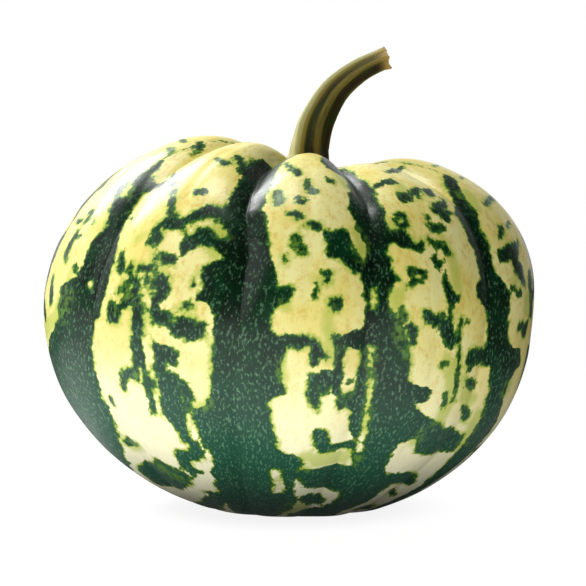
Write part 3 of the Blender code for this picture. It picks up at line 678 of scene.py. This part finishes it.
paint(rind_mesh, "green", whole_rind(green, green[0], green[-1]))
# How near each point is to a groove's crease, for the painted shade along it.
paint(rind_mesh, "crease", whole_rind(crease, 0.0, 0.0))
paint(rind_mesh, "turning", whole_rind(turning, turning[0], turning[-1]))
paint(rind_mesh, "drum", whole_rind(drum, drum[0], drum[-1]))
scar_below = np.linspace(*SCAR_IN_DIMPLE, len(dimple))
scar_above = np.zeros(len(funnel) + 2)
scar_by_row = np.concatenate([scar_below, eased(latitude[:, 0], SCAR_FADE), scar_above])
scar_by_point = np.repeat(scar_by_row, len(across))
paint(rind_mesh, "scar", np.concatenate([scar_by_point, [SCAR_MIDDLE, 0]]))


def linear(red, green_level, blue):
    """A colour given as it looks on a screen, from 0 to 255, as the shader takes it."""
    return tuple((level / 255) ** 2.2 for level in (red, green_level, blue)) + (1.0,)


class Shading:
    """The nodes of one material, or of the room. Each method adds a node and returns its result."""

    def __init__(self, owner, surface_name="Principled BSDF"):
        owner.use_nodes = True
        self.tree = owner.node_tree
        self.surface = self.tree.nodes[surface_name]

    def add(self, kind, inputs, output=0, **settings):
        made = self.tree.nodes.new(kind)
        for name, value in settings.items():
            setattr(made, name, value)
        for socket, value in inputs.items():
            self.set(made.inputs[socket], value)
        return made.outputs[output]

    def set(self, socket, value):
        if isinstance(value, bpy.types.NodeSocket):
            self.tree.links.new(value, socket)
        else:
            socket.default_value = value

    def read(self, name, output="Fac"):
        return self.add("ShaderNodeAttribute", {}, output, attribute_name=name)

    def sum(self, operation, first, second):
        return self.add("ShaderNodeMath", {0: first, 1: second}, operation=operation)

    def stretched(self, vector, scale):
        return self.add("ShaderNodeVectorMath", {0: vector, 1: scale}, operation="MULTIPLY")

    def grain(self, vector, per_mm, detail, roughness):
        """Noise of so many grains to a millimetre."""
        inputs = {"Vector": vector, "Scale": per_mm, "Detail": detail, "Roughness": roughness}
        return self.add("ShaderNodeTexNoise", inputs)

    def swing(self, grain, width):
        """A grain as a swing to both sides of 0, over this width in all."""
        return self.sum("MULTIPLY", self.sum("SUBTRACT", grain, 0.5), width)

    def spots(self, vector, grain, edge, to_low=0.0, to_high=1.0):
        """A grain made into spots with a soft edge, which runs between these two values of it."""
        return self.between(self.grain(vector, *grain), *edge, to_low, to_high)

    def between(self, value, low, high, to_low=0.0, to_high=1.0, curve="SMOOTHSTEP"):
        """A value that runs from one number to another while the given one runs from low to high."""
        inputs = {"Value": value, "From Min": low, "From Max": high, "To Min": to_low, "To Max": to_high}
        return self.add("ShaderNodeMapRange", inputs, interpolation_type=curve)

    def blend(self, share, first, second):
        inputs = {"Factor": share, "A": first, "B": second}
        return self.add("ShaderNodeMix", inputs, "Result", data_type="RGBA")


CREAM = linear(243, 237, 160)
PALE = linear(250, 248, 212)
BUTTER = linear(235, 221, 124)
OCHRE = linear(216, 182, 70)
LIME = linear(186, 198, 84)
GRASS = linear(96, 138, 48)
LEAF = linear(44, 92, 36)
FOREST = linear(8, 57, 31)
NIGHT = linear(2, 33, 16)
# The next colour is painted light: a lighter, bluer green for the lower skin, where the lit table glows and
# shines on it.
TABLE_LIT_GREEN = linear(34, 80, 61)
# The next colour is painted shade, laid along the creases.
CREASE_SHADE = linear(1, 16, 9)
FLECK = linear(116, 166, 122)
CORK = linear(150, 120, 70)

# Where the colours change up the skin, in millimetres above the equator, and how much of each there is.
PALE_DOWN_TO = (6.0, -46.0)
# Painted light on the lower green skin, from the lit table, fades in between these levels.
TABLE_LIT_GREEN_DOWN_TO = (4.0, -36.0)
# The flecks are the skin's own, and they grow low down partly as painted light from the lit table.
FLECKS_DOWN_TO = (30.0, -20.0)
FLECKS_SHARE = (0.22, 0.46)
VEINS_UP_TO = (-34.0, 16.0)
VEINS_SHARE = (0.16, 0.72)
# Painted shade along the creases: the levels between which it grows, and how strong it is below and above
# them.
CREASE_SHADE_UP_TO = (-20.0, 20.0)
CREASE_SHADE_SHARE = (0.1, 0.85)
TURNING_SHARE = 0.75
MOTTLE_SHARE = (0.0, 0.8)

# How far in from the green's edge each colour turns into the next, in millimetres. The edge is ragged and
# jagged by these widths, and the lime fringe beside it is of an uneven width.
RAGGED_WIDTH = 1.8
JAGGED_WIDTH = 1.5
LIME_FRINGE = (-1.0, 0.0)
FRINGE_WIDTH = (0.3, 1.5)
GRASS_EDGE = (-0.35, 0.1)
LEAF_EDGE = (-0.1, 0.35)
DARK_EDGE = (0.1, 0.8)
TURNING_EDGE = (-1.2, 1.0)
SCAR_EDGE = (0.7, 1.1)
SCAR_RAGGEDNESS = 0.2

# Each grain of the skin: how many to a millimetre, how much finer detail it has, and how strong that is.
RAGGED = (0.36, 1.0, 0.5)
JAGGED = (1.05, 1.0, 0.5)
CLOUDS = (0.07, 3.0, 0.55)
VEINS = (0.5, 5.0, 0.78)
PATCHES = (0.16, 3.0, 0.6)
FLECKS = (1.7, 1.0, 0.5)
MOTTLE = (0.5, 2.0, 0.5)
FRINGE = (0.13, 2.0, 0.5)
WAX = (0.7, 3.0, 0.5)
PORES = (1.7, 3.0, 0.65)
PIMPLES = (0.55, 2.0, 0.5)
ALONG_VEINS = (1.0, 1.0, 0.7)
ALONG_PIMPLES = (1.0, 1.0, 0.6)
PIMPLE_SHARE = 0.65
PIMPLE_HEIGHT = 0.25 * MM
WAX_ROUGHNESS = (0.3, 0.46)

rind_material = bpy.data.materials.new("waxy_rind")
rind = Shading(rind_material)
place = rind.read("drum", "Vector")
level_mm = rind.add("ShaderNodeSeparateXYZ", {"Vector": place}, "Z")

# Where the skin is turning, the green is broken up.
ragged = rind.swing(rind.grain(place, *RAGGED), RAGGED_WIDTH)
jagged = rind.swing(rind.grain(place, *JAGGED), JAGGED_WIDTH)
depth = rind.sum("ADD", rind.sum("ADD", rind.read("green"), ragged), jagged)
turn = rind.between(rind.sum("ADD", rind.read("turning"), ragged), *TURNING_EDGE)

# The ripe skin is clouded cream, paler towards the blossom end and veined with ochre towards the crown.
cream = rind.blend(rind.spots(place, CLOUDS, (0.36, 0.62)), CREAM, BUTTER)
cream = rind.blend(rind.between(level_mm, *PALE_DOWN_TO), cream, PALE)
veins = rind.spots(rind.stretched(place, ALONG_VEINS), VEINS, (0.46, 0.7))
veins = rind.sum("MULTIPLY", veins, rind.between(level_mm, *VEINS_UP_TO, *VEINS_SHARE))
cream = rind.blend(veins, cream, OCHRE)
cream = rind.blend(rind.sum("MULTIPLY", turn, TURNING_SHARE), cream, LIME)

# The green skin is flecked with lighter green. Along the creases it is painted near black, most of all in the
# upper half: painted shade.
# Low down it is painted lighter and bluer and its flecks grow: painted light from the lit table, over the
# flecks' own colour.
dark = rind.blend(rind.spots(place, PATCHES, (0.35, 0.7)), NIGHT, FOREST)
# Painted light: low down the green turns lighter and bluer, as if lit and sheened by the table.
dark = rind.blend(rind.between(level_mm, *TABLE_LIT_GREEN_DOWN_TO), dark, TABLE_LIT_GREEN)
# Painted shade: the creases turn near black, most of all in the upper half.
shaded = rind.sum("MULTIPLY", rind.read("crease"), rind.between(level_mm, *CREASE_SHADE_UP_TO, *CREASE_SHADE_SHARE))
dark = rind.blend(shaded, dark, CREASE_SHADE)
# The flecks are the skin's own. Their growth low down is partly painted light from the table.
flecks = rind.spots(rind.stretched(place, ALONG_PIMPLES), FLECKS, (0.53, 0.72))
flecks = rind.sum("MULTIPLY", flecks, rind.between(level_mm, *FLECKS_DOWN_TO, *FLECKS_SHARE))
dark = rind.blend(flecks, dark, FLECK)
mottle = rind.spots(place, MOTTLE, (0.42, 0.6), *MOTTLE_SHARE)
dark = rind.blend(rind.sum("MULTIPLY", turn, mottle), dark, GRASS)

# From cream to green, the skin goes through lime, grass and leaf green. The flower's scar is cork.
fringe_width = rind.spots(place, FRINGE, (0.35, 0.68), *FRINGE_WIDTH)
fringe = rind.between(rind.sum("DIVIDE", depth, fringe_width), *LIME_FRINGE)
skin_colour = rind.blend(fringe, cream, LIME)
skin_colour = rind.blend(rind.between(depth, *GRASS_EDGE), skin_colour, GRASS)
skin_colour = rind.blend(rind.between(depth, *LEAF_EDGE), skin_colour, LEAF)
skin_colour = rind.blend(rind.between(depth, *DARK_EDGE), skin_colour, dark)
scar = rind.sum("ADD", rind.read("scar"), rind.sum("MULTIPLY", ragged, SCAR_RAGGEDNESS))
skin_colour = rind.blend(rind.between(scar, *SCAR_EDGE), skin_colour, CORK)
rind.set(rind.surface.inputs["Base Color"], skin_colour)

# A thin coat of wax lies over pores and small pimples.
rind.set(rind.surface.inputs["Roughness"], rind.spots(place, WAX, (0.3, 0.75), *WAX_ROUGHNESS))
rind.surface.inputs["Specular IOR Level"].default_value = 0.12
rind.surface.inputs["Coat Weight"].default_value = 0.32
rind.surface.inputs["Coat Roughness"].default_value = 0.2
pores = rind.sum("MULTIPLY", rind.grain(place, *PORES), 1 - PIMPLE_SHARE)
pimples = rind.sum("MULTIPLY", rind.grain(rind.stretched(place, ALONG_PIMPLES), *PIMPLES), PIMPLE_SHARE)
relief = rind.sum("ADD", pores, pimples)
bump = rind.add("ShaderNodeBump", {"Strength": 0.5, "Distance": PIMPLE_HEIGHT, "Height": relief})
rind.set(rind.surface.inputs["Normal"], bump)
rind_mesh.materials.append(rind_material)
rind_piece = bpy.data.objects.new("rind", rind_mesh)
bpy.context.scene.collection.objects.link(rind_piece)
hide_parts("fruit")
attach(rind_piece, "root")

# The stem
# The dry stalk that the fruit hung by, still joined to it at its foot in the crown's hollow. It is tough and
# fibrous, with five angles and furrows between them. It was cut off, so its end is torn and a little hollow.
# Its route, in millimetres: how far to the right, how far up, and its radius there.
STEM_ROUTE = (
    (0.00, 0.3, 5.6),
    (0.10, 1.5, 5.5),
    (0.24, 3.2, 4.8),
    (0.55, 6.2, 4.4),
    (2.10, 12.2, 4.1),
    (6.30, 19.2, 3.4),
    (11.8, 23.8, 2.8),
    (17.0, 26.4, 2.5),
    (19.5, 27.2, 2.7),
)
STEM_ANGLES = 5
STEM_ANGLE_HEIGHT = 0.09
STEM_TWIST = math.radians(-60)
STEM_FIRST_ANGLE = math.radians(-112)
STEM_SIDES = 150
STEM_RINGS = 170
FURROW_SHARPNESS = 1.5
SECOND_RIDGES = 15
SECOND_RIDGE_HEIGHT = 0.012
FIBRES = 55
FIBRE_HEIGHT = 0.007
WANDER = 0.25
WANDER_WAVES = 9

# The torn end: where the tearing starts, its waves by their number round the end, height and shift, and how
# deep its hollow is.
TORN_FROM = 0.93
TORN_HEIGHT = 0.33 * MM
TORN_WAVES = ((3, 0.6, 1), (7, 0.4, 0), (16, 0.3, 2))
HOLLOW_DEPTH = 0.9 * MM
END_RINGS = ((0.93, 0.06), (0.84, 0.35), (0.7, 0.75), (0.45, 0.95), (0.2, 1.0))


def route_points(share):
    """(right, up, radius) in metres along the stem's middle, on a smooth curve through its route."""
    route = np.array(STEM_ROUTE) * MM
    last = len(route) - 1
    start = np.minimum((share * last).astype(int), last - 1)
    part = (share * last - start)[:, None]
    here = route[start]
    there = route[start + 1]
    leaving = (there - route[np.maximum(start - 1, 0)]) / 2
    arriving = (route[np.minimum(start + 2, last)] - here) / 2
    return (
        here * (2 * part**3 - 3 * part**2 + 1)
        + leaving * (part**3 - 2 * part**2 + part)
        + there * (3 * part**2 - 2 * part**3)
        + arriving * (part**3 - part**2)
    )


stem_share = np.linspace(0, 1, STEM_RINGS)
stem_angle = np.linspace(0, 2 * np.pi, STEM_SIDES, endpoint=False)
centre_line = route_points(stem_share)
before = route_points(np.maximum(stem_share - 0.01, 0))
beyond = route_points(np.minimum(stem_share + 0.01, 1))
run = np.stack([beyond[:, 0] - before[:, 0], beyond[:, 1] - before[:, 1]], axis=1)
run = run / np.linalg.norm(run, axis=1)[:, None]
turned = stem_angle[None, :] - STEM_FIRST_ANGLE - STEM_TWIST * stem_share[:, None]
angle_share = 0.5 + 0.5 * np.cos(STEM_ANGLES * turned)
wander = WANDER * np.sin(WANDER_WAVES * stem_share[:, None] + 3 * turned)
profile = 1 + STEM_ANGLE_HEIGHT * (2 * angle_share**FURROW_SHARPNESS - 1)
profile = profile + SECOND_RIDGE_HEIGHT * np.cos(SECOND_RIDGES * turned + wander)
profile = profile + FIBRE_HEIGHT * np.cos(FIBRES * turned + 3 * wander)
reach = centre_line[:, 2:3] * profile
sideways = np.stack([run[:, 1], 0 * run[:, 0], -run[:, 0]], axis=1)
backways = np.array([0.0, 1.0, 0.0])
middle = np.stack([centre_line[:, 0], 0 * stem_share, centre_line[:, 1]], axis=1)
spokes = (
    sideways[:, None, :] * np.cos(stem_angle)[None, :, None] + backways * np.sin(stem_angle)[None, :, None]
)
stalk = middle[:, None, :] + spokes * reach[:, :, None]

# Its end's edge is uneven, and the pith inside has shrunk back.
end_run = np.array([run[-1, 0], 0, run[-1, 1]])
torn = sum(high * np.sin(count * stem_angle + shift) for count, high, shift in TORN_WAVES)
near_end = np.clip((stem_share - TORN_FROM) / (1 - TORN_FROM), 0, 1)[:, None, None]
stalk = stalk + end_run * (torn * TORN_HEIGHT)[None, :, None] * near_end
end_rings = []
for share, sunk_share in END_RINGS:
    edge = middle[-1] + (stalk[-1] - middle[-1]) * share
    end_rings.append(edge - end_run * HOLLOW_DEPTH * sunk_share)
stem_seat = seat_middle + to_origin
stem_rings = np.concatenate([stalk, end_rings]) + stem_seat
foot_middle = middle[0] + stem_seat
end_middle = middle[-1] - end_run * HOLLOW_DEPTH + stem_seat
stem_mesh = ring_mesh("ridged_stem", stem_rings, foot_middle, end_middle)


def whole_stem(values, at_end):
    """Values on the stem's rings, carried on over its torn end and the two end points."""
    values = np.broadcast_to(values, (STEM_RINGS, STEM_SIDES))
    every = np.concatenate([values, np.full((len(END_RINGS), STEM_SIDES), at_end)]).ravel()
    return np.concatenate([every, [every[0], at_end]])


# It is palest on its left, partly from its own bleaching and partly as painted light from the lamps at the
# left, and darkest in the front furrow.
BLEACHED_AND_LIT_SIDE = math.radians(185)
BLEACHED_AND_LIT_TURN = 0.5
PAST_THE_TIP = 1.1
bleached_and_lit = 0.5 + 0.5 * np.cos(stem_angle[None, :] - BLEACHED_AND_LIT_SIDE + BLEACHED_AND_LIT_TURN * stem_share[:, None])
paint(stem_mesh, "ridge", whole_stem(angle_share, 0.5))
paint(stem_mesh, "bleached_and_lit", whole_stem(bleached_and_lit, 0.5))
paint(stem_mesh, "tip", whole_stem(stem_share[:, None], PAST_THE_TIP))

# The grain of its fibres runs as if the stalk were straight, this wide and long in millimetres. The grain of
# the torn end is cut from a place well away from it.
STRAIGHT_RADIUS = 4
STRAIGHT_LENGTH = 40
END_GRAIN_AT = 50
fibre_space = np.stack(
    [
        np.cos(turned) * STRAIGHT_RADIUS,
        np.sin(turned) * STRAIGHT_RADIUS,
        np.broadcast_to(stem_share[:, None] * STRAIGHT_LENGTH, turned.shape),
    ],
    axis=-1,
)
end_space = (np.array(end_rings) - middle[-1]) / MM + END_GRAIN_AT
tips_space = [[0, 0, 0], [END_GRAIN_AT] * 3]
paint(stem_mesh, "fibre", np.concatenate([fibre_space.reshape(-1, 3), end_space.reshape(-1, 3), tips_space]))

stem_material = bpy.data.materials.new("dry_stalk")
stem = Shading(stem_material)
fibre = stem.read("fibre", "Vector")
STRAW = linear(178, 176, 126)
OLIVE = linear(124, 112, 50)
MOSS = linear(30, 44, 8)
BARK = linear(40, 26, 8)
TAN = linear(172, 142, 76)
PITH = linear(128, 98, 44)

# Its two grains, in the rind's terms, each drawn out along the stalk.
THREADS = (1.7, 3.0, 0.65)
ALONG_THREADS = (1.0, 1.0, 0.07)
THREAD_EDGE = (0.3, 0.7)
THREAD_RELIEF = 0.2 * MM
BARK_PATCHES = (0.35, 3.0, 0.6)
ALONG_PATCHES = (1.0, 1.0, 0.35)
DRY_ROUGHNESS = (0.45, 0.7)

# How pale it is, made up of its bleached left side with painted light from the lamps there, its ridges and
# its threads, and where its colours start with that.
BLEACH_AND_LIGHT_SHARPNESS = 2.4
BLEACH_AND_LIGHT_SHARE = 1.05
RIDGE_SHARE = 0.37
THREAD_SHARE = 0.5
OLIVE_EDGE = (0.2, 0.55)
STRAW_EDGE = (0.6, 1.0)
TAN_EDGE = (0.84, 0.99)
TAN_SHARE = (0.0, 0.8)
PITH_EDGE = (1.0, 1.06)

# The furrows are moss green and bark brown, the ridges olive, and the left side straw, partly its own
# bleached tone and partly painted light from the left. The tip is tan.
threads = stem.grain(stem.stretched(fibre, ALONG_THREADS), *THREADS)
bleach_and_light = stem.sum("MULTIPLY", stem.sum("POWER", stem.read("bleached_and_lit"), BLEACH_AND_LIGHT_SHARPNESS), BLEACH_AND_LIGHT_SHARE)
pale = stem.sum("ADD", stem.sum("MULTIPLY", stem.read("ridge"), RIDGE_SHARE), bleach_and_light)
pale = stem.sum("ADD", pale, stem.swing(threads, THREAD_SHARE))
tip = stem.read("tip")
furrow = stem.blend(stem.spots(stem.stretched(fibre, ALONG_PATCHES), BARK_PATCHES, (0.4, 0.62)), MOSS, BARK)
stalk_colour = stem.blend(stem.between(pale, *OLIVE_EDGE), furrow, OLIVE)
stalk_colour = stem.blend(stem.between(pale, *STRAW_EDGE), stalk_colour, STRAW)
stalk_colour = stem.blend(stem.between(tip, *TAN_EDGE, *TAN_SHARE), stalk_colour, TAN)
stalk_colour = stem.blend(stem.between(tip, *PITH_EDGE), stalk_colour, PITH)
stem.set(stem.surface.inputs["Base Color"], stalk_colour)
stem.set(stem.surface.inputs["Roughness"], stem.between(threads, *THREAD_EDGE, *DRY_ROUGHNESS))
stem_bump = stem.add("ShaderNodeBump", {"Strength": 0.6, "Distance": THREAD_RELIEF, "Height": threads})
stem.set(stem.surface.inputs["Normal"], stem_bump)
stem.surface.inputs["Specular IOR Level"].default_value = 0.2
stem_mesh.materials.append(stem_material)
stem_piece = bpy.data.objects.new("ridged_stem", stem_mesh)
bpy.context.scene.collection.objects.link(stem_piece)
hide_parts("stem")
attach(stem_piece, "root")

# The studio
# The fruit stands on a small round table covered with white paper, in a room with white walls. The paper is
# lit from under, so it looks white and lights the fruit's lower side. It gives least where the fruit shades
# it, and most in front and at the left.
TABLE_RADIUS = 0.19
TABLE_SIDES = 96
TABLE_MIDDLE = (-0.05, -0.01, -0.05 * MM)
TABLE_LIGHT = 1.9
TABLE_LIGHT_RIGHT = 0.08
BRIGHT_SIDE = (-0.42, -0.9, 0.0)
BRIGHT_FROM = (-0.05, 0.09)
SHADOW_EDGE = (42 * MM, 78 * MM)
SHADOW_LIGHT = 0.06
SEEN_SHADOW_EDGE = (22 * MM, 42 * MM)
SEEN_SHADOW = 0.88
SEEN_WHITE = 0.98
bpy.ops.mesh.primitive_circle_add(
    vertices=TABLE_SIDES, radius=TABLE_RADIUS, fill_type="NGON", location=TABLE_MIDDLE
)
table = bpy.context.object
table.name = "table"


def towards(shading, direction, side):
    """How far a direction or a place runs towards one side, as nodes."""
    return shading.add("ShaderNodeVectorMath", {0: direction, 1: side}, "Value", operation="DOT_PRODUCT")


paper_material = bpy.data.materials.new("white_table")
paper = Shading(paper_material)
paper.surface.inputs["Base Color"].default_value = (0.06, 0.06, 0.06, 1)
paper.surface.inputs["Roughness"].default_value = 0.9
paper.surface.inputs["Specular IOR Level"].default_value = 0.1
paper.surface.inputs["Emission Color"].default_value = (1.0, 1.0, 1.0, 1)
on_table = paper.add("ShaderNodeTexCoord", {}, "Object")
fruit_on_table = (-TABLE_MIDDLE[0], -TABLE_MIDDLE[1], 0.0)
from_fruit = paper.add("ShaderNodeVectorMath", {0: on_table, 1: fruit_on_table}, operation="SUBTRACT")
distance = paper.add("ShaderNodeVectorMath", {0: from_fruit}, "Value", operation="LENGTH")
lit = paper.between(towards(paper, from_fruit, BRIGHT_SIDE), *BRIGHT_FROM, TABLE_LIGHT_RIGHT, TABLE_LIGHT)
lit = paper.sum("MULTIPLY", lit, paper.between(distance, *SHADOW_EDGE, SHADOW_LIGHT, 1.0))
white = paper.between(distance, *SEEN_SHADOW_EDGE, SEEN_SHADOW, SEEN_WHITE)
seen = paper.add("ShaderNodeLightPath", {}, "Is Camera Ray")
paper.set(paper.surface.inputs["Emission Strength"], paper.between(seen, 0.0, 1.0, lit, white, "LINEAR"))
table.data.materials.append(paper_material)

# The room is white where it is looked at, but lights the fruit only dimly. Below the level of the table it is
# as bright as the table, which stands for more paper beyond the disc. Above it, the wall behind is lit.
ROOM_LIGHT = 0.05
WALL_LIGHT = 0.8
WALL_SIDE = (-0.3, 0.95, 0.0)
WALL_EDGE = (0.25, 0.8)
PAPER_EDGE = (-0.25, 0.55)
LEVEL_OF_TABLE = (-0.06, 0.02)
world = bpy.data.worlds.new("dim_white_room")
bpy.context.scene.world = world
room = Shading(world, "Background")
direction = room.add("ShaderNodeTexCoord", {}, "Generated")
height_here = room.add("ShaderNodeSeparateXYZ", {"Vector": direction}, "Z")
to_bright_side = towards(room, direction, BRIGHT_SIDE)
below = room.between(to_bright_side, *PAPER_EDGE, TABLE_LIGHT_RIGHT, TABLE_LIGHT, "LINEAR")
above = room.between(towards(room, direction, WALL_SIDE), *WALL_EDGE, ROOM_LIGHT, WALL_LIGHT, "LINEAR")
dimmed = room.between(height_here, *LEVEL_OF_TABLE, below, above, "LINEAR")
looked_at = room.add("ShaderNodeLightPath", {}, "Is Camera Ray")
room.surface.inputs["Color"].default_value = (1.0, 1.0, 1.0, 1)
room.set(room.surface.inputs["Strength"], room.between(looked_at, 0.0, 1.0, dimmed, 1.0, "LINEAR"))

# Three square lamps, by name, place, size and power, aimed at the fruit's middle. The first lights its front
# from the left, and the others make the gleams on its shoulders and crown.
LAMPS = (
    ("front_left", (-0.8, -0.5, 0.48), 0.8, 3.3),
    ("behind_left", (-0.5, 0.55, 0.72), 0.5, 10.5),
    ("overhead", (-0.12, 0.05, 0.85), 0.3, 3.2),
)
FRUIT_MIDDLE = Vector((0, 0, 50 * MM))
for name, stands_at, size, power in LAMPS:
    lamp = bpy.data.lights.new(name, "AREA")
    lamp.size = size
    lamp.energy = power
    lamp_piece = bpy.data.objects.new(name, lamp)
    lamp_piece.location = stands_at
    lamp_piece.rotation_euler = (FRUIT_MIDDLE - Vector(stands_at)).to_track_quat("-Z", "Y").to_euler()
    bpy.context.scene.collection.objects.link(lamp_piece)

# The camera is a little above level, and its picture is 586 pixels wide.
CAMERA_ELEVATION = math.radians(4.0)
CAMERA_DISTANCE = 594 * MM
AIM_RIGHT_OF_AXIS = 1.34 * MM
AIM_HEIGHT = 52.0 * MM
PICTURE_WIDTH = 586
MM_PER_PIXEL = 0.2434
SENSOR_WIDTH = 36.0
NEAREST_SEEN = 10 * MM
camera_data = bpy.data.cameras.new("camera")
camera_data.sensor_width = SENSOR_WIDTH
camera_data.lens = SENSOR_WIDTH * CAMERA_DISTANCE / (MM_PER_PIXEL * MM * PICTURE_WIDTH)
camera = bpy.data.objects.new("camera", camera_data)
away = Vector((0, -math.cos(CAMERA_ELEVATION), math.sin(CAMERA_ELEVATION)))
aim = Vector((AIM_RIGHT_OF_AXIS + to_origin[0], to_origin[1], AIM_HEIGHT))
camera.location = aim + away * CAMERA_DISTANCE
camera.rotation_euler = (-away).to_track_quat("-Z", "Y").to_euler()
camera_data.clip_start = NEAREST_SEEN
bpy.context.scene.collection.objects.link(camera)
bpy.context.scene.camera = camera
bpy.context.scene.view_settings.view_transform = "Standard"
